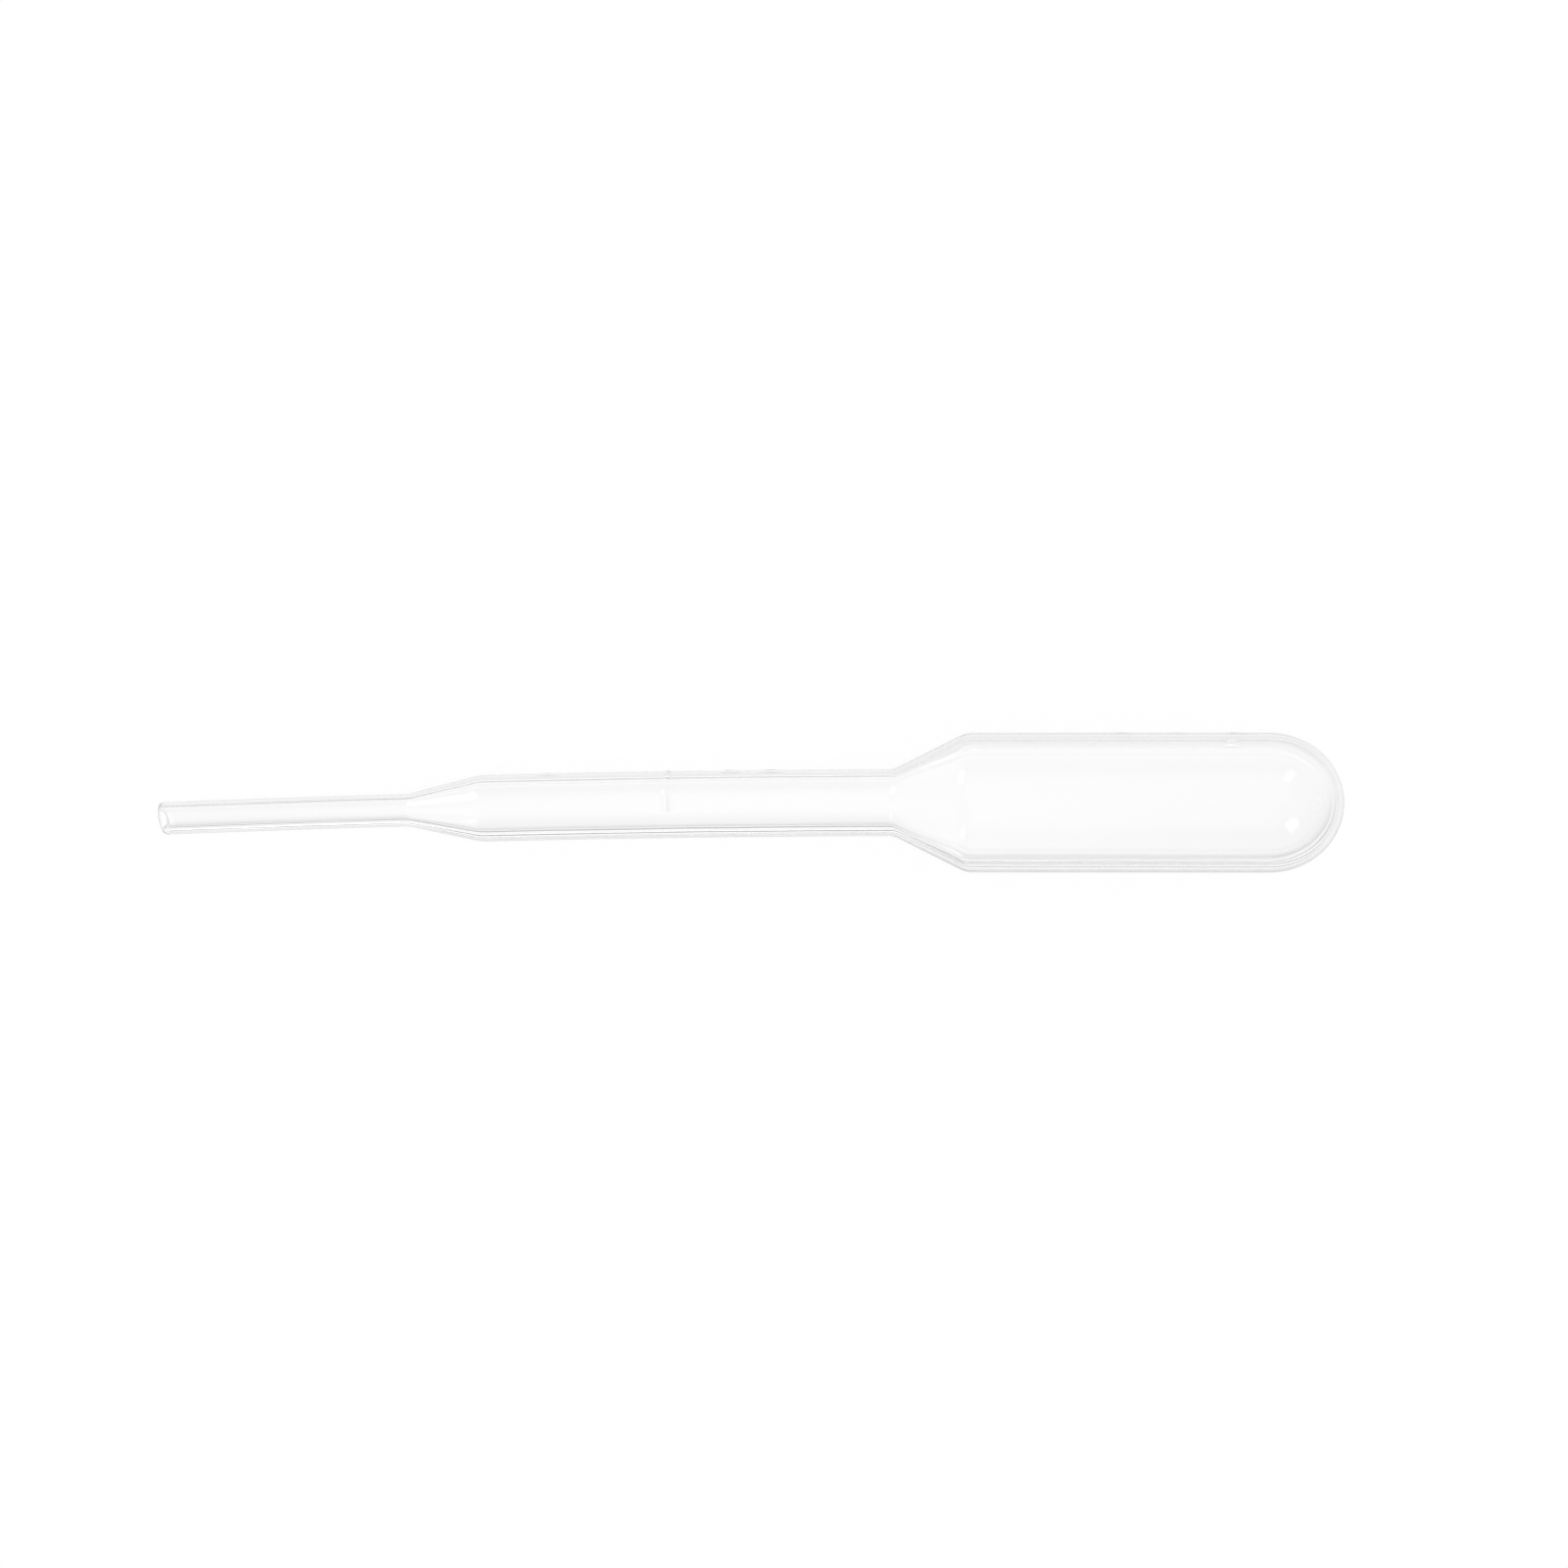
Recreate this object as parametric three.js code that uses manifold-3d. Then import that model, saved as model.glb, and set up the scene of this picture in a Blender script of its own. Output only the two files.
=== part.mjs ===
// A dropper pipette: one thin-walled piece of soft clear polyethylene, blown in a two-part mould.
// From its open end it has a fine tip, a lower cone, a straight stem with a moulded fill mark,
// a sloping shoulder and a squeeze bulb closed by a dome. Units are millimetres.
//
// The body is made straight along +X with the open tip at X = 0, in this order: the outside is
// turned, the mould's parting ridge and the fill mark are added, the inside is hollowed, the tip
// is snipped and the whole is bowed sideways. It is then laid down as it comes to rest on Z = 0,
// touching at the tip's rim and at the front of the bulb.

import * as THREE from "three";
import { mergeVertices } from "three/addons/utils/BufferGeometryUtils.js";
import Module from "manifold-3d";

// Lengths along the axis, from the open tip to the closed end.
const tipLength = 13.0;
const coneLength = 3.8;
const stemLength = 21.7;
const shoulderLength = 3.8;
const bulbLength = 15.8;
const domeLength = 3.9;

// Outside diameters.
const tipDiameter = 1.7;
const stemDiameter = 3.5;
const bulbDiameter = 7.3;

// Wall thicknesses. The wall is drawn thin at the tip, and is thickest round the bulb.
const tipWall = 0.24;
const stemWall = 0.32;
const bulbWall = 0.36;
const domeWall = 0.3;

// Radii that soften the corners between the straight stretches.
const coneBlend = 3.0;
const shoulderBlend = 2.0;

// The parting ridge: the thin line of plastic that the closing mould leaves on both sides.
const ridgeWidth = 0.1;
const ridgeHeight = 0.04;

// The fill mark: a low rib that runs round the stem from the parting ridge, a little over a quarter turn.
const markFromTip = 26.7;
const markWidth = 0.3;
const markHeight = 0.04;
const markSweep = 105;

// The tip is snipped a little off square: by these angles sideways and downwards, in degrees.
const snipSideways = 7;
const snipDownwards = 9;

// How far the open end has bowed sideways from the bulb's axis.
const tipBow = 0.85;

// Fineness of the facets.
const facetsAround = 36;
const stepsPerBlend = 4;
const stepsPerDome = 12;
const longestStep = 4;

const coneStart = tipLength;
const stemStart = coneStart + coneLength;
const shoulderStart = stemStart + stemLength;
const bulbStart = shoulderStart + shoulderLength;
const domeStart = bulbStart + bulbLength;
const closedEnd = domeStart + domeLength;

const wasm = await Module();
wasm.setup();

// A closed three.js geometry as a solid that can be joined and cut.
function solidFrom(geometry) {
  const bare = new THREE.BufferGeometry();
  bare.setAttribute("position", geometry.getAttribute("position"));
  bare.setIndex(geometry.getIndex());
  const merged = mergeVertices(bare);
  const triVerts = [];
  for (let i = 0; i < merged.index.count; i += 3) {
    const [a, b, c] = merged.index.array.subarray(i, i + 3);
    if (a !== b && b !== c && c !== a) triVerts.push(a, b, c);
  }
  return new wasm.Manifold(
    new wasm.Mesh({
      numProp: 3,
      vertProperties: merged.attributes.position.array,
      triVerts: new Uint32Array(triVerts),
    }),
  );
}

// A solid's triangles as a three.js geometry.
function geometryFrom(solid) {
  const mesh = solid.getMesh();
  const geometry = new THREE.BufferGeometry();
  geometry.setAttribute("position", new THREE.BufferAttribute(mesh.vertProperties, mesh.numProp));
  geometry.setIndex(new THREE.BufferAttribute(mesh.triVerts, 1));
  return geometry;
}

// Goes straight on towards a corner and round it, as a curve that starts and ends where an arc of that radius would.
function lineRoundCorner(path, corner, next, radius) {
  const from = path.currentPoint.clone();
  const before = corner.clone().sub(from).normalize();
  const after = next.clone().sub(corner).normalize();
  const turn = Math.acos(THREE.MathUtils.clamp(before.dot(after), -1, 1));
  const room = Math.min(corner.distanceTo(from), corner.distanceTo(next) / 2);
  const reach = Math.min(radius * Math.tan(turn / 2), room);
  const leave = corner.clone().addScaledVector(before, -reach);
  const join = corner.clone().addScaledVector(after, reach);
  path.lineTo(leave.x, leave.y);
  path.quadraticCurveTo(corner.x, corner.y, join.x, join.y);
}

// Half of the pipette's section, as points (distance from the tip, radius), from an open start to the end on the axis.
function sectionPoints({ start, tipRadius, stemRadius, bulbRadius, end }) {
  const coneFoot = new THREE.Vector2(coneStart, tipRadius);
  const coneTop = new THREE.Vector2(stemStart, stemRadius);
  const shoulderFoot = new THREE.Vector2(shoulderStart, stemRadius);
  const shoulderTop = new THREE.Vector2(bulbStart, bulbRadius);
  const domeFoot = new THREE.Vector2(domeStart, bulbRadius);
  const path = new THREE.Path();
  path.moveTo(start, tipRadius);
  lineRoundCorner(path, coneFoot, coneTop, coneBlend);
  lineRoundCorner(path, coneTop, shoulderFoot, coneBlend);
  lineRoundCorner(path, shoulderFoot, shoulderTop, shoulderBlend);
  lineRoundCorner(path, shoulderTop, domeFoot, shoulderBlend);
  path.lineTo(domeFoot.x, domeFoot.y);

  const points = [];
  for (const curve of path.curves) {
    const straight = curve instanceof THREE.LineCurve;
    const steps = straight ? Math.ceil(curve.getLength() / longestStep) : stepsPerBlend;
    points.push(...curve.getPoints(steps).slice(0, -1));
  }
  for (let i = 0; i <= stepsPerDome; i++) {
    const angle = ((Math.PI / 2) * i) / stepsPerDome;
    const along = domeStart + (end - domeStart) * Math.sin(angle);
    points.push(new THREE.Vector2(along, bulbRadius * Math.cos(angle)));
  }
  points[points.length - 1].y = 0;
  return points;
}

// A solid turned about X from points (distance from the tip, radius), with a flat facet on top, below and at each side.
// The facets' middles lie at the radius.
function turned(points) {
  const toCorner = 1 / Math.cos(Math.PI / facetsAround);
  const radiusAndHeight = points.map((p) => new THREE.Vector2(p.y * toCorner, p.x));
  const geometry = new THREE.LatheGeometry(radiusAndHeight, facetsAround, Math.PI / facetsAround);
  return solidFrom(geometry.rotateZ(-Math.PI / 2));
}

const outside = {
  start: -tipDiameter,
  tipRadius: tipDiameter / 2,
  stemRadius: stemDiameter / 2,
  bulbRadius: bulbDiameter / 2,
  end: closedEnd,
};

function turnedOutside() {
  return turned([new THREE.Vector2(outside.start, 0), ...sectionPoints(outside)]);
}

// The hollow runs out through the open end, so that it leaves the bore when it is cut away.
function turnedInside() {
  const inside = {
    start: 2 * outside.start,
    tipRadius: outside.tipRadius - tipWall,
    stemRadius: outside.stemRadius - stemWall,
    bulbRadius: outside.bulbRadius - bulbWall,
    end: closedEnd - domeWall,
  };
  return turned([new THREE.Vector2(inside.start, 0), ...sectionPoints(inside)]);
}

// A thin plate in the mould's parting plane that stands proud of the outside by the ridge's height.
function partingRidge() {
  const edge = sectionPoints({
    start: outside.start,
    tipRadius: outside.tipRadius + ridgeHeight,
    stemRadius: outside.stemRadius + ridgeHeight,
    bulbRadius: outside.bulbRadius + ridgeHeight,
    end: outside.end + ridgeHeight,
  });
  const otherEdge = edge.slice(0, -1).map((p) => new THREE.Vector2(p.x, -p.y));
  const plate = new THREE.Shape([...otherEdge, ...edge.reverse()]);
  const geometry = new THREE.ExtrudeGeometry(plate, { depth: ridgeWidth, bevelEnabled: false });
  return solidFrom(geometry.translate(0, 0, -ridgeWidth / 2));
}

// A low rib with sloping sides, turned all round and then kept only over its sweep, which starts at the ridge on +Y.
function fillMark() {
  const foot = outside.stemRadius - stemWall / 2;
  const crest = outside.stemRadius + markHeight;
  const crestHalf = markWidth / 4;
  const footHalf = markWidth / 2;
  const rib = turned([
    new THREE.Vector2(markFromTip - footHalf, foot),
    new THREE.Vector2(markFromTip - footHalf, outside.stemRadius),
    new THREE.Vector2(markFromTip - crestHalf, crest),
    new THREE.Vector2(markFromTip + crestHalf, crest),
    new THREE.Vector2(markFromTip + footHalf, outside.stemRadius),
    new THREE.Vector2(markFromTip + footHalf, foot),
    new THREE.Vector2(markFromTip - footHalf, foot),
  ]);
  const sector = new THREE.Shape();
  sector.moveTo(0, 0);
  sector.absarc(0, 0, stemDiameter, 0, THREE.MathUtils.degToRad(markSweep));
  const wedge = new THREE.ExtrudeGeometry(sector, { depth: 2 * markWidth, bevelEnabled: false });
  wedge.rotateY(Math.PI / 2).rotateX(Math.PI / 2);
  wedge.translate(markFromTip - markWidth, 0, 0);
  return rib.intersect(solidFrom(wedge));
}

// What lies beyond the slightly oblique snip that opens the tip.
function snippedEnd() {
  const size = 4 * tipDiameter;
  const block = new THREE.BoxGeometry(size, size, size).translate(-size / 2, 0, 0);
  block.rotateZ(THREE.MathUtils.degToRad(snipSideways));
  block.rotateY(THREE.MathUtils.degToRad(-snipDownwards));
  return solidFrom(block);
}

// Bends the straight body sideways along a parabola that starts where the bulb does.
function bow(geometry) {
  const position = geometry.getAttribute("position");
  for (let i = 0; i < position.count; i++) {
    const x = position.getX(i);
    const y = position.getY(i);
    const share = Math.max(0, (bulbStart - x) / bulbStart);
    const angle = Math.atan((2 * tipBow * share) / bulbStart);
    const offset = -tipBow * share * share;
    position.setXY(i, x - y * Math.sin(angle), offset + y * Math.cos(angle));
  }
  return geometry;
}

// The slope at which the tip's rim and the widest forward part of the body both touch a flat surface.
function restingSlope() {
  const rim = new THREE.Vector2(0, outside.tipRadius);
  const slopes = sectionPoints(outside)
    .filter((p) => p.x > rim.x + coneStart)
    .map((p) => Math.atan2(p.y - rim.y, p.x - rim.x));
  return Math.max(...slopes);
}

const clearPolyethylene = new THREE.MeshStandardMaterial({
  color: 0xf2f4f5,
  roughness: 0.25,
  metalness: 0,
  transparent: true,
  opacity: 0.4,
});

const body = turnedOutside()
  .add(partingRidge())
  .add(fillMark())
  .subtract(turnedInside())
  .subtract(snippedEnd());

const pipetteBody = new THREE.Mesh(bow(geometryFrom(body)), clearPolyethylene);
pipetteBody.name = "pipette_body";
pipetteBody.rotation.y = -restingSlope();

const pipette = new THREE.Group();
pipette.name = "dropper_pipette";
pipette.add(pipetteBody);

// The origin is under the middle of the body's footprint, on the surface that it lies on.
const extent = new THREE.Box3().setFromObject(pipette, true);
const middle = extent.getCenter(new THREE.Vector3());
pipetteBody.position.set(-middle.x, -middle.y, -extent.min.z);

export default pipette;
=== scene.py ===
"""A soft clear dropper pipette, blown in one piece, lying on a white table in soft white light."""

import math

import bpy
from mathutils import Matrix, Vector


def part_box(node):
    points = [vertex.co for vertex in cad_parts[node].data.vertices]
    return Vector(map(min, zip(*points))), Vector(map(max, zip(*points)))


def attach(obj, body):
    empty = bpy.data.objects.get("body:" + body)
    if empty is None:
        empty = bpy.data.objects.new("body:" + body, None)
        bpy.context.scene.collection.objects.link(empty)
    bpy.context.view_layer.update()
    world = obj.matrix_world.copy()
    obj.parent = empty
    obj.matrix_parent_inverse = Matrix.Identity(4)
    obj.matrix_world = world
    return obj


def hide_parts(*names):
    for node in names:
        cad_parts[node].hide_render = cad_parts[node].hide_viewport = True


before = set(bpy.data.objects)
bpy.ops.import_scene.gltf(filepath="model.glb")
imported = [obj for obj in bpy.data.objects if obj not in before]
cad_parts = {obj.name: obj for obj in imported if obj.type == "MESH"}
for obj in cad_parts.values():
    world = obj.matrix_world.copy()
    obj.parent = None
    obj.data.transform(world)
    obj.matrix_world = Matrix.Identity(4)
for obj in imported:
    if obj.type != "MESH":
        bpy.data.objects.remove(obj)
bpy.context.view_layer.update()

MM = 0.001

# Lengths along the axis, from the open tip to the closed end.
TIP_LENGTH = 13.0 * MM
CONE_LENGTH = 3.8 * MM
STEM_LENGTH = 21.7 * MM
SHOULDER_LENGTH = 3.8 * MM
BULB_LENGTH = 15.8 * MM
DOME_LENGTH = 3.9 * MM

# Outside radii and the wall's thickness.
TIP_RADIUS = 0.85 * MM
STEM_RADIUS = 1.75 * MM
BULB_RADIUS = 3.65 * MM
TIP_WALL = 0.24 * MM
STEM_WALL = 0.32 * MM
BULB_WALL = 0.36 * MM
DOME_WALL = 0.3 * MM

# What the mould leaves: the parting ridge on both sides, and a fill mark with soft ends.
RIDGE_WIDTH = 0.12 * MM
RIDGE_HEIGHT = 0.003 * MM
MARK_FROM_TIP = 26.7 * MM
MARK_WIDTH = 0.14 * MM
MARK_HEIGHT = 0.07 * MM
MARK_SWEEP = math.radians(105)
MARK_FADE = math.radians(4)
MARK_FLATNESS = 0.7

# The open end's oblique snip, how far its slant reaches along the tip, and the tip's sideways bow.
SNIP_SIDEWAYS = math.radians(7)
SNIP_DOWNWARDS = math.radians(9)
SNIP_REACH = 4 * MM
TIP_BOW = 0.85 * MM

# Burrs on the parting ridge's +Y side, each with its distance from the tip, half-length and height.
BURRS = [
    (20.4 * MM, 0.3 * MM, 0.012 * MM),
    (29.9 * MM, 0.25 * MM, 0.018 * MM),
    (32.1 * MM, 0.3 * MM, 0.018 * MM),
    (50.4 * MM, 0.3 * MM, 0.015 * MM),
    (53.3 * MM, 0.25 * MM, 0.012 * MM),
    (56.2 * MM, 0.25 * MM, 0.015 * MM),
]

# A nub beside the ridge, and its angle round from +Y towards the top.
NUB_FROM_TIP = 56.15 * MM
NUB_ANGLE = math.radians(28)
NUB_RADIUS = 0.1 * MM
NUB_HEIGHT = 0.08 * MM

# The skin of the plastic: cloudy patches of roughness, faint waves and a few tiny pits. The scales
# are in cells per metre. A pit's radius is a share of its cell, and a cell has one when its own
# random number is above PIT_RARITY.
PATCH_SCALE = 420.0
PATCH_EDGES = (0.35, 0.75)
LEAST_ROUGHNESS = 0.02
MOST_ROUGHNESS = 0.05
WAVE_SCALE = 700.0
WAVE_HEIGHT = 0.002 * MM
PIT_SCALE = 260.0
PIT_RADIUS = 0.03
PIT_RARITY = 0.8
PIT_DEPTH = 0.02 * MM

# How strongly the plastic bends light, how clear it is where it is faced, how much painted shade
# darkens it where it is seen at a glancing angle, which draws dark outlines along its edges, and
# the share of lamplight that shines through it.
REFRACTIVE_INDEX = 1.51
CLEARNESS = 0.999
GLANCING_PAINTED_SHADE = 0.7
GLANCING_SHARPNESS = 6
LAMPLIGHT_THROUGH = 0.95

# The camera looks straight down.
CAMERA_HEIGHT = 350 * MM
VIEW_WIDTH = 82.79 * MM
VIEW_CENTRE = (1.87 * MM, 0.966 * MM)

# The table: the camera sees it mostly as an even white of this strength, and for the rest as a lit
# surface, on which the faint shadow shows.
TABLE_REACH = 2.0
TABLE_COLOUR = 0.8
TABLE_WHITE = 1.03
TABLE_WHITE_SHARE = 0.9

# Small soft lamps on the tip's side, each with its azimuth, elevation, width, height and watts.
LAMP_DISTANCE = 500 * MM
LAMPS = [
    ("lamp_back_left", 130, 33, 0.18, 0.18, 0.15),
    ("lamp_front_left", -121, 29, 0.12, 0.24, 0.058),
    ("lamp_back_left_low", 121, 22, 0.06, 0.12, 0.012),
]

# Light that enters the thin wall may run along it for many bounces before it comes out.
MOST_BOUNCES = 256

# The white room: how strongly it lights things, and how bright the clear wall shows it.
SOFT_LIGHT = 1.0
SURROUNDINGS = 1.08

# The clear wall also shows long soft strips along both sides of the room, some darker and some
# brighter. Each has its angle from straight up, which counts towards +Y, its half-width, both in
# degrees, and what it adds to the white.
STRIPS = [
    (-170, 5.8, -0.18),
    (-166, 1.5, 0.79),
    (-165, 3.2, -0.87),
    (-156, 1.5, -0.55),
    (-144, 2.5, -0.55),
    (-130, 3.6, -0.95),
    (-124, 2.4, 0.78),
    (-113, 3.8, 0.70),
    (-107, 2.0, -0.95),
    (-71, 22.6, -0.1),
    (-23, 32.1, -0.47),
    (64, 23.5, -0.55),
    (104, 6.4, -0.52),
    (110, 2.4, 0.56),
    (121, 3.9, -0.78),
    (134, 2.4, -0.25),
    (146, 10.6, -0.23),
    (169, 11.4, -0.12),
]

# Towards the room's ends at -X and +X the strips give way to a plain ceiling and wall.
END_CEILING = -0.3
END_WALL = -0.15

# Where one thing in the room turns into the next: each pair is where an even curve between them
# starts and ends. The first counts how far a level direction points towards +Y, the second how far
# towards either side, and the others count degrees from straight up.
ONE_SIDE_TO_OTHER = (-0.5, 0.5)
END_TO_STRIPS = (0.55, 0.9)
OVERHEAD_TO_END = (10, 45)
END_TO_UNDERFOOT = (150, 172)
CEILING_TO_WALL = (60, 100)


# Node trees ---------------------------------------------------------------------------------------


class Value:
    """A number inside a node tree, which adds, multiplies and compares as plain numbers do."""

    def __init__(self, tree, socket):
        self.tree = tree
        self.socket = socket

    def math(self, operation, *others):
        node = self.tree.nodes.new("ShaderNodeMath")
        node.operation = operation
        for socket, value in zip(node.inputs, (self, *others)):
            feed(self.tree, socket, value)
        return Value(self.tree, node.outputs[0])

    def __add__(self, other):
        return self.math("ADD", other)

    def __radd__(self, other):
        return self + other

    def __sub__(self, other):
        return self.math("SUBTRACT", other)

    def __mul__(self, other):
        return self.math("MULTIPLY", other)

    def __truediv__(self, other):
        return self.math("DIVIDE", other)

    def __neg__(self):
        return self.math("MULTIPLY", -1)

    def __gt__(self, other):
        return self.math("GREATER_THAN", other)

    def __lt__(self, other):
        return self.math("LESS_THAN", other)

    def sin(self):
        return self.math("SINE")

    def cos(self):
        return self.math("COSINE")

    def at_least(self, other):
        return self.math("MAXIMUM", other)

    def at_most(self, other):
        return self.math("MINIMUM", other)

    def smooth_step(self, low, high):
        """0 up to low, 1 from high on, and an even curve between them."""
        share = ((self - low) / (high - low)).at_least(0).at_most(1)
        return share * share * (-share * 2 + 3)

    def mix(self, other, share):
        """This value where share is 0 and the other where it is 1."""
        return self + (other - self) * share


def feed(tree, socket, value):
    """Links a value to a socket, or sets the socket to a plain number."""
    if isinstance(value, Value):
        tree.links.new(value.socket, socket)
    elif isinstance(value, bpy.types.NodeSocket):
        tree.links.new(value, socket)
    else:
        socket.default_value = value


def swell(away):
    """1 where away is 0, and falling off as a bell does on both sides."""
    return (-(away * away)).math("EXPONENT")


def add_node(tree, kind, inputs=(), **settings):
    """A new node with its settings, and with its inputs fed by name or number."""
    node = tree.nodes.new(kind)
    for name, value in settings.items():
        setattr(node, name, value)
    for name, value in dict(inputs).items():
        feed(tree, node.inputs[name], value)
    return node


# The blown body -----------------------------------------------------------------------------------

BODY_SIZES = {
    "Tip length": TIP_LENGTH,
    "Cone length": CONE_LENGTH,
    "Stem length": STEM_LENGTH,
    "Shoulder length": SHOULDER_LENGTH,
    "Bulb length": BULB_LENGTH,
    "Dome length": DOME_LENGTH,
    "Tip radius": TIP_RADIUS,
    "Stem radius": STEM_RADIUS,
    "Bulb radius": BULB_RADIUS,
    "Tip wall": TIP_WALL,
    "Stem wall": STEM_WALL,
    "Bulb wall": BULB_WALL,
    "Dome wall": DOME_WALL,
    "Cone blend": 0.085 * MM,
    "Shoulder blend": 0.22 * MM,
    "Edge radius": 0.04 * MM,
    "Ridge width": RIDGE_WIDTH,
    "Ridge height": RIDGE_HEIGHT,
    "Mark from tip": MARK_FROM_TIP,
    "Mark width": MARK_WIDTH,
    "Mark height": MARK_HEIGHT,
    "Mark sweep": MARK_SWEEP,
    "Nub from tip": NUB_FROM_TIP,
    "Nub angle": NUB_ANGLE,
    "Nub radius": NUB_RADIUS,
    "Nub height": NUB_HEIGHT,
    "Snip sideways": SNIP_SIDEWAYS,
    "Snip downwards": SNIP_DOWNWARDS,
    "Tip bow": TIP_BOW,
    "Inside ripple": 0.004 * MM,
}

# The grid's rings along the wall and on the dome, its columns all round, and those of half a ridge.
RINGS_ALONG = 216
RINGS_ON_DOME = 26
COLUMNS = 192
RIDGE_COLUMNS = 3

# Points nearer than this to each other become one, and no ring counts as narrower than this for the
# width of its ridge.
SAME_SPOT = 0.0005 * MM
LEAST_RADIUS = 0.01 * MM

# The noise that makes the ridge uneven, and how many millimetres further on the -Y side reads it.
RIDGE_NOISE = {"Scale": 0.9, "Detail": 4.0, "Roughness": 0.75}
OTHER_SIDE = 40

# The noise that ripples the inside is read along a tube: how far for each millimetre of the wall,
# and at which radius.
RIPPLES_ALONG = 0.22
RIPPLES_ROUND = 1.6


def blown_body_tree(material):
    """The tree that makes the body.

    A grid is rolled into the outer wall, round the closed end and back as the inner wall.
    """
    tree = bpy.data.node_groups.new("blown_body", "GeometryNodeTree")
    tree.interface.new_socket("Geometry", in_out="OUTPUT", socket_type="NodeSocketGeometry")
    for name in BODY_SIZES:
        tree.interface.new_socket(name, in_out="INPUT", socket_type="NodeSocketFloat")
    sizes = tree.nodes.new("NodeGroupInput")
    size = {name: Value(tree, sizes.outputs[name]) for name in BODY_SIZES}

    # Where each stretch starts, counted from the tip.
    cone_start = size["Tip length"]
    stem_start = cone_start + size["Cone length"]
    shoulder_start = stem_start + size["Stem length"]
    bulb_start = shoulder_start + size["Shoulder length"]
    dome_start = bulb_start + size["Bulb length"]

    # One vertex for each step along the wall and column round it. The last ring closes the lip.
    rings = RINGS_ALONG + RINGS_ON_DOME
    last_ring = 2 * rings + 1
    grid = add_node(
        tree,
        "GeometryNodeMeshGrid",
        {
            "Size X": last_ring + 1,
            "Size Y": COLUMNS,
            "Vertices X": last_ring + 2,
            "Vertices Y": COLUMNS + 1,
        },
    )
    position = tree.nodes.new("GeometryNodeInputPosition").outputs[0]
    spot = add_node(tree, "ShaderNodeSeparateXYZ", {0: position})
    ring = Value(tree, spot.outputs["X"]) + (last_ring + 1) / 2
    column = Value(tree, spot.outputs["Y"]) + COLUMNS / 2
    inner = (ring > rings + 0.5) * (ring < last_ring + 0.5)
    step = ring.mix(-ring + last_ring, inner) * (ring < last_ring + 0.5)

    # Steps crowd together at the lip, at the corners, at the mark and at the nub. Each of these
    # places has how strongly it pulls and how far.
    on_dome = step > RINGS_ALONG + 0.5
    plain = step.at_most(RINGS_ALONG) / RINGS_ALONG * dome_start
    distance = plain
    crowded = [
        (0, 0.85, 0.5 * MM),
        (cone_start, 0.5, 0.5 * MM),
        (stem_start, 0.5, 0.5 * MM),
        (size["Mark from tip"], 0.88, 0.5 * MM),
        (size["Nub from tip"], 0.75, 0.5 * MM),
        (shoulder_start, 0.5, 0.6 * MM),
        (bulb_start, 0.5, 0.6 * MM),
    ]
    for place, pull, reach in crowded:
        away = plain - place
        near = (-(away * away) / reach**2).math("EXPONENT")
        distance = distance - away * near * pull
    dome_angle = ((step - RINGS_ALONG) / RINGS_ON_DOME * (math.pi / 2)).at_least(0)

    def section_radius(tip_radius, stem_radius, bulb_radius):
        """The wall's radius here: straight stretches with softened corners, and then the dome."""
        past_tip = (distance - cone_start) / size["Cone length"]
        cone = past_tip * (stem_radius - tip_radius) + tip_radius
        past_stem = (distance - shoulder_start) / size["Shoulder length"]
        shoulder = past_stem * (bulb_radius - stem_radius)
        radius = cone.math("SMOOTH_MAX", tip_radius, size["Cone blend"])
        radius = radius.math("SMOOTH_MIN", stem_radius, size["Cone blend"])
        radius = radius.math("SMOOTH_MAX", shoulder + stem_radius, size["Shoulder blend"])
        radius = radius.math("SMOOTH_MIN", bulb_radius, size["Shoulder blend"])
        return radius * dome_angle.cos()

    outer_radius = section_radius(size["Tip radius"], size["Stem radius"], size["Bulb radius"])
    inner_radius = section_radius(
        size["Tip radius"] - size["Tip wall"],
        size["Stem radius"] - size["Stem wall"],
        size["Bulb radius"] - size["Bulb wall"],
    )

    # Columns crowd together on the parting ridge, which runs along both sides.
    half = COLUMNS / 2
    past_ridge = (column + half / 2).math("FLOORED_MODULO", half) - half / 2
    from_ridge = past_ridge.math("ABSOLUTE")
    ridge_number = ((column + half / 2) / half).math("FLOOR")
    even = math.pi / COLUMNS * 2
    half_ridge = size["Ridge width"] / 2 / outer_radius.at_least(LEAST_RADIUS)
    narrow = (half_ridge / RIDGE_COLUMNS).at_most(even)
    wide = (-narrow * RIDGE_COLUMNS + math.pi / 2) / (half / 2 - RIDGE_COLUMNS)
    on_ridge = from_ridge.at_most(RIDGE_COLUMNS)
    turn = on_ridge * narrow + (from_ridge - RIDGE_COLUMNS).at_least(0) * wide
    angle = turn * past_ridge.math("SIGN") + ridge_number * math.pi

    # The parting ridge: a low uneven line with a few burrs on the +Y side.
    on_minus_y = ridge_number.math("FLOORED_MODULO", 2)
    unevenness = add_node(
        tree,
        "ShaderNodeTexNoise",
        {"W": distance / MM + on_minus_y * OTHER_SIDE, **RIDGE_NOISE},
        noise_dimensions="1D",
    )
    uneven = Value(tree, unevenness.outputs[0])
    burrs = sum(swell((distance - place) / reach) * height for place, reach, height in BURRS)
    plain_ridge = (uneven + 0.5) * size["Ridge height"]
    ridge_shape = (-from_ridge / RIDGE_COLUMNS + 1).smooth_step(0, 1)
    ridge = ridge_shape * (plain_ridge + burrs * (-on_minus_y + 1))

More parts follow.
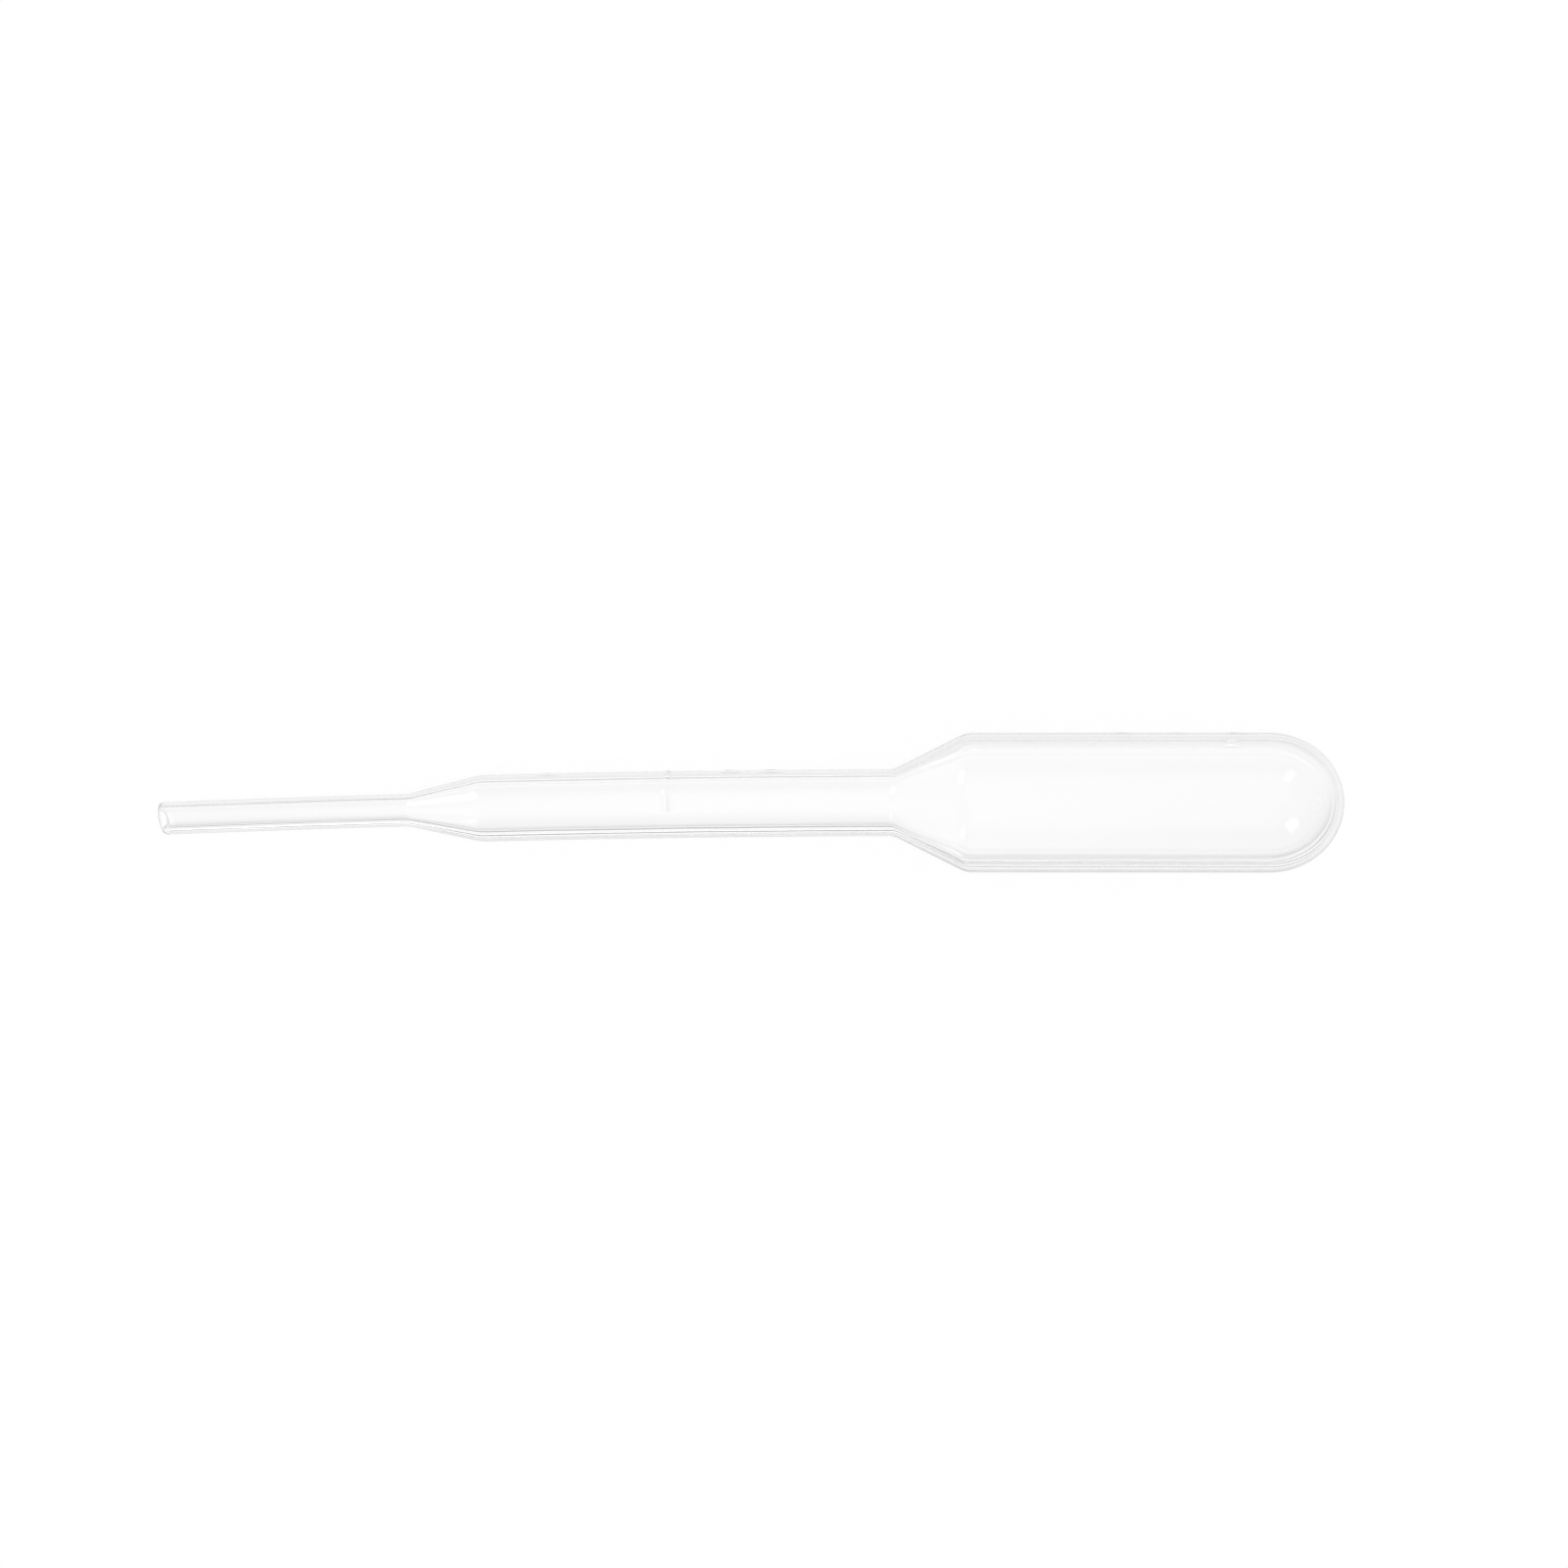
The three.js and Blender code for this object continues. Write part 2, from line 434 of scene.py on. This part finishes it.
    # The fill mark: a low rib from just above the ridge on +Y over the top.
    across_mark = ((distance - size["Mark from tip"]) / size["Mark width"] * 2).math("ABSOLUTE")
    across_mark = across_mark.at_most(1)
    rib = (-(across_mark * across_mark) + 1).math("POWER", MARK_FLATNESS)
    from_plus_y = (angle + math.pi).math("FLOORED_MODULO", 2 * math.pi) - math.pi
    started = ((from_plus_y - MARK_FADE) / MARK_FADE).at_most(1).at_least(0)
    unfinished = ((size["Mark sweep"] - from_plus_y) / MARK_FADE).at_most(1).at_least(0)
    mark = rib * (unfinished * started) * size["Mark height"]

    # The nub.
    nub_along = (distance - size["Nub from tip"]) / size["Nub radius"]
    nub_round = (from_plus_y - size["Nub angle"]) * outer_radius / size["Nub radius"]
    nub = (-(nub_along * nub_along + nub_round * nub_round)).math("EXPONENT") * size["Nub height"]

    # The lip's edges are rounded.
    into_edge = (-(distance / size["Edge radius"]) + 1).at_least(0) * (-on_dome + 1)
    eased = (-((-(into_edge * into_edge) + 1).math("SQRT")) + 1) * size["Edge radius"]

    # The inside ripples a little, as blown walls do.
    ripple_place = add_node(
        tree,
        "ShaderNodeCombineXYZ",
        {
            "X": distance / MM * RIPPLES_ALONG,
            "Y": angle.cos() * RIPPLES_ROUND,
            "Z": angle.sin() * RIPPLES_ROUND,
        },
    )
    ripple_noise = add_node(
        tree, "ShaderNodeTexNoise", {"Vector": ripple_place.outputs[0], "Scale": 1.0, "Detail": 1.0}
    )
    in_or_out = (Value(tree, ripple_noise.outputs[0]) - 0.5) * 2
    ripple = in_or_out * size["Inside ripple"] * dome_angle.cos()

    outside = outer_radius + ridge * dome_angle.cos() + mark + nub - eased
    inside = inner_radius + ripple + eased
    radius = outside.mix(inside, inner)
    dome_reach = size["Dome length"] - size["Dome wall"] * inner
    along = distance + dome_angle.sin() * dome_reach
    across = angle.cos() * radius
    up = angle.sin() * radius

    # The snip shifts the first few rings to an oblique plane.
    lean = across * size["Snip sideways"].math("TANGENT")
    drop = up * size["Snip downwards"].math("TANGENT") / size["Snip sideways"].cos()
    fading = (-(distance / SNIP_REACH) + 1).at_least(0)
    along = along - (lean + drop) * fading

    # The bow: a parabola that starts where the bulb does.
    share = ((bulb_start - along) / bulb_start).at_least(0)
    slope = (size["Tip bow"] * share * 2 / bulb_start).math("ARCTANGENT")
    sideways = across * slope.cos() - size["Tip bow"] * share * share
    bowed = add_node(
        tree,
        "ShaderNodeCombineXYZ",
        {"X": along - across * slope.sin(), "Y": sideways, "Z": up},
    )

    rolled = add_node(
        tree,
        "GeometryNodeSetPosition",
        {"Geometry": grid.outputs["Mesh"], "Position": bowed.outputs[0]},
    )
    joined = add_node(
        tree, "GeometryNodeMergeByDistance", {"Geometry": rolled.outputs[0], "Distance": SAME_SPOT}
    )
    outwards = add_node(tree, "GeometryNodeFlipFaces", {"Mesh": joined.outputs[0]})
    smooth = add_node(tree, "GeometryNodeSetShadeSmooth", {"Geometry": outwards.outputs[0]})
    real = add_node(tree, "GeometryNodeRealizeInstances", {"Geometry": smooth.outputs[0]})
    coloured = add_node(
        tree, "GeometryNodeSetMaterial", {"Geometry": real.outputs[0], "Material": material}
    )
    output = tree.nodes.new("NodeGroupOutput")
    tree.links.new(coloured.outputs[0], output.inputs[0])
    return tree


def made_by(tree, name, sizes):
    """The plain mesh that a tree makes with these sizes, as an object at the origin."""
    maker = bpy.data.objects.new(name, bpy.data.meshes.new(name))
    bpy.context.scene.collection.objects.link(maker)
    modifier = maker.modifiers.new(name, "NODES")
    modifier.node_group = tree
    for socket in tree.interface.items_tree:
        if socket.in_out == "INPUT" and socket.name in sizes:
            modifier[socket.identifier] = sizes[socket.name]
    made = maker.evaluated_get(bpy.context.evaluated_depsgraph_get())
    mesh = bpy.data.meshes.new_from_object(made)
    maker.modifiers.clear()
    maker.data = mesh
    return maker


def lay_down(piece, node):
    """Tilts a piece made along +X to the slope at which it rests, and puts it where the node is."""
    bulb = [v.co for v in piece.data.vertices if v.co.x > TIP_LENGTH + CONE_LENGTH + STEM_LENGTH]
    slope = max(math.atan2(-co.z - TIP_RADIUS, co.x) for co in bulb)
    piece.data.transform(Matrix.Rotation(-slope, 4, "Y"))
    xs = [v.co.x for v in piece.data.vertices]
    zs = [v.co.z for v in piece.data.vertices]
    low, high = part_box(node)
    shift = Vector(((low[0] + high[0] - min(xs) - max(xs)) / 2, 0, low[2] - min(zs)))
    piece.data.transform(Matrix.Translation(shift))


# Materials ----------------------------------------------------------------------------------------


def moulded_skin(tree):
    """The roughness and bump of a blown skin: cloudy patches, faint waves and a few tiny pits."""
    place = tree.nodes.new("ShaderNodeTexCoord").outputs["Object"]
    patches = add_node(
        tree, "ShaderNodeTexNoise", {"Vector": place, "Scale": PATCH_SCALE, "Detail": 3.0}
    )
    patch = Value(tree, patches.outputs[0]).smooth_step(*PATCH_EDGES)
    roughness = patch * (MOST_ROUGHNESS - LEAST_ROUGHNESS) + LEAST_ROUGHNESS

    waves = add_node(
        tree, "ShaderNodeTexNoise", {"Vector": place, "Scale": WAVE_SCALE, "Detail": 2.0}
    )
    pits = add_node(tree, "ShaderNodeTexVoronoi", {"Vector": place, "Scale": PIT_SCALE})
    chance = add_node(tree, "ShaderNodeSeparateColor", {0: pits.outputs["Color"]})
    has_pit = Value(tree, chance.outputs[0]) > PIT_RARITY
    pit = (-Value(tree, pits.outputs["Distance"]) / PIT_RADIUS + 1).at_least(0) * has_pit
    height = Value(tree, waves.outputs[0]) * WAVE_HEIGHT - pit * PIT_DEPTH
    bump = add_node(tree, "ShaderNodeBump", {"Height": height, "Distance": 1.0, "Strength": 1.0})
    return roughness, bump.outputs[0]


def clear_polyethylene():
    """Soft clear plastic with a moulded skin. Lamps shine through it, so its shadow is faint."""
    material = bpy.data.materials.new("clear_polyethylene")
    material.use_nodes = True
    tree = material.node_tree
    shader = tree.nodes["Principled BSDF"]
    roughness, bump = moulded_skin(tree)
    feed(tree, shader.inputs["Roughness"], roughness)
    feed(tree, shader.inputs["Normal"], bump)
    # Painted shade: the plastic's colour darkens where it is seen at a glancing angle, which draws
    # dark outlines along its edges.
    layer = add_node(tree, "ShaderNodeLayerWeight", {"Blend": 0.5})
    glancing = Value(tree, layer.outputs["Facing"]).math("POWER", GLANCING_SHARPNESS)
    feed(tree, shader.inputs["Base Color"], -(glancing * GLANCING_PAINTED_SHADE) + CLEARNESS)
    shader.inputs["IOR"].default_value = REFRACTIVE_INDEX
    shader.inputs["Transmission Weight"].default_value = 1.0

    through = (LAMPLIGHT_THROUGH, LAMPLIGHT_THROUGH, LAMPLIGHT_THROUGH, 1)
    let_through = add_node(tree, "ShaderNodeBsdfTransparent", {"Color": through})
    path = tree.nodes.new("ShaderNodeLightPath")
    either = add_node(
        tree,
        "ShaderNodeMixShader",
        {0: path.outputs["Is Shadow Ray"], 1: shader.outputs[0], 2: let_through.outputs[0]},
    )
    tree.links.new(either.outputs[0], tree.nodes["Material Output"].inputs["Surface"])
    return material


def table_top():
    """White table that the camera sees as white, with a faint shadow on it."""
    material = bpy.data.materials.new("table_top")
    material.use_nodes = True
    tree = material.node_tree
    shader = tree.nodes["Principled BSDF"]
    shader.inputs["Base Color"].default_value = (TABLE_COLOUR, TABLE_COLOUR, TABLE_COLOUR, 1)
    shader.inputs["Roughness"].default_value = 0.9
    shader.inputs["Specular IOR Level"].default_value = 0.0
    white = add_node(tree, "ShaderNodeEmission", {"Color": (1, 1, 1, 1), "Strength": TABLE_WHITE})
    path = tree.nodes.new("ShaderNodeLightPath")
    white_share = Value(tree, path.outputs["Is Camera Ray"]) * TABLE_WHITE_SHARE
    shown = add_node(
        tree, "ShaderNodeMixShader", {0: white_share, 1: shader.outputs[0], 2: white.outputs[0]}
    )
    tree.links.new(shown.outputs[0], tree.nodes["Material Output"].inputs["Surface"])
    return material


# The scene ----------------------------------------------------------------------------------------


def make_table():
    """A flat table top, which the clear wall doesn't show: it shows the white room instead."""
    mesh = bpy.data.meshes.new("table")
    ways = [(-1, -1), (1, -1), (1, 1), (-1, 1)]
    mesh.from_pydata([(x * TABLE_REACH, y * TABLE_REACH, 0) for x, y in ways], [], [(0, 1, 2, 3)])
    table = bpy.data.objects.new("table", mesh)
    table.data.materials.append(table_top())
    table.visible_transmission = False
    table.visible_glossy = False
    bpy.context.scene.collection.objects.link(table)


def make_camera():
    """A camera straight above, which sees VIEW_WIDTH of the table."""
    data = bpy.data.cameras.new("camera")
    data.lens = data.sensor_width * CAMERA_HEIGHT / VIEW_WIDTH
    data.clip_start = 0.01
    data.clip_end = 10
    camera = bpy.data.objects.new("camera", data)
    camera.location = (*VIEW_CENTRE, CAMERA_HEIGHT)
    bpy.context.scene.collection.objects.link(camera)
    bpy.context.scene.camera = camera


def make_lamp(name, azimuth, elevation, width, height, power):
    """A soft oval lamp that faces the middle of the table."""
    data = bpy.data.lights.new(name, "AREA")
    data.shape = "ELLIPSE"
    data.size = width
    data.size_y = height
    data.energy = power
    lamp = bpy.data.objects.new(name, data)
    a, e = math.radians(azimuth), math.radians(elevation)
    away = Vector((math.cos(a) * math.cos(e), math.sin(a) * math.cos(e), math.sin(e)))
    lamp.location = away * LAMP_DISTANCE
    lamp.rotation_mode = "QUATERNION"
    lamp.rotation_quaternion = away.to_track_quat("Z", "Y")
    bpy.context.scene.collection.objects.link(lamp)


def make_world():
    """The white room: plain white to the camera, with its strips only in the clear wall."""
    world = bpy.data.worlds.new("studio")
    bpy.context.scene.world = world
    world.use_nodes = True
    tree = world.node_tree
    background = tree.nodes["Background"]
    background.inputs["Color"].default_value = (1, 1, 1, 1)
    place = add_node(tree, "ShaderNodeTexCoord")
    way = add_node(tree, "ShaderNodeSeparateXYZ", {0: place.outputs["Generated"]})
    x, y, z = (Value(tree, way.outputs[axis]) for axis in "XYZ")
    from_up = z.math("ARCCOSINE") * (180 / math.pi)

    def strips_at(angle):
        """What the strips add at an angle from straight up."""
        added = 0
        for centre, half_width, adds in STRIPS:
            past = (angle - centre + 180).math("FLOORED_MODULO", 360) - 180
            added = swell(past / half_width) * adds + added
        return added

    sideways = y / (x * x + y * y).math("SQRT").at_least(0.001)
    along_sides = strips_at(-from_up).mix(
        strips_at(from_up), sideways.smooth_step(*ONE_SIDE_TO_OTHER)
    )
    beside = from_up.smooth_step(*OVERHEAD_TO_END) * (-from_up.smooth_step(*END_TO_UNDERFOOT) + 1)
    at_ends = (-sideways.math("ABSOLUTE").smooth_step(*END_TO_STRIPS) + 1) * beside
    on_ends = from_up.smooth_step(*CEILING_TO_WALL) * (END_WALL - END_CEILING) + END_CEILING
    shown = along_sides.mix(on_ends, at_ends) + SURROUNDINGS

    path = tree.nodes.new("ShaderNodeLightPath")
    mirrored = Value(tree, path.outputs["Is Glossy Ray"])
    bent = Value(tree, path.outputs["Is Transmission Ray"])
    seen = Value(tree, path.outputs["Is Camera Ray"])
    light = (shown - SOFT_LIGHT) * bent.at_least(mirrored) + SOFT_LIGHT
    feed(tree, background.inputs["Strength"], light + (-light + 1) * seen)


make_camera()
make_table()
make_world()
for lamp in LAMPS:
    make_lamp(*lamp)
cycles = bpy.context.scene.cycles
cycles.max_bounces = cycles.glossy_bounces = cycles.transmission_bounces = MOST_BOUNCES

plastic = clear_polyethylene()
body = made_by(blown_body_tree(plastic), "blown_body", BODY_SIZES)
lay_down(body, "pipette_body")
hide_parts("pipette_body")
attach(body, "root")

bpy.context.scene.view_settings.view_transform = "Standard"
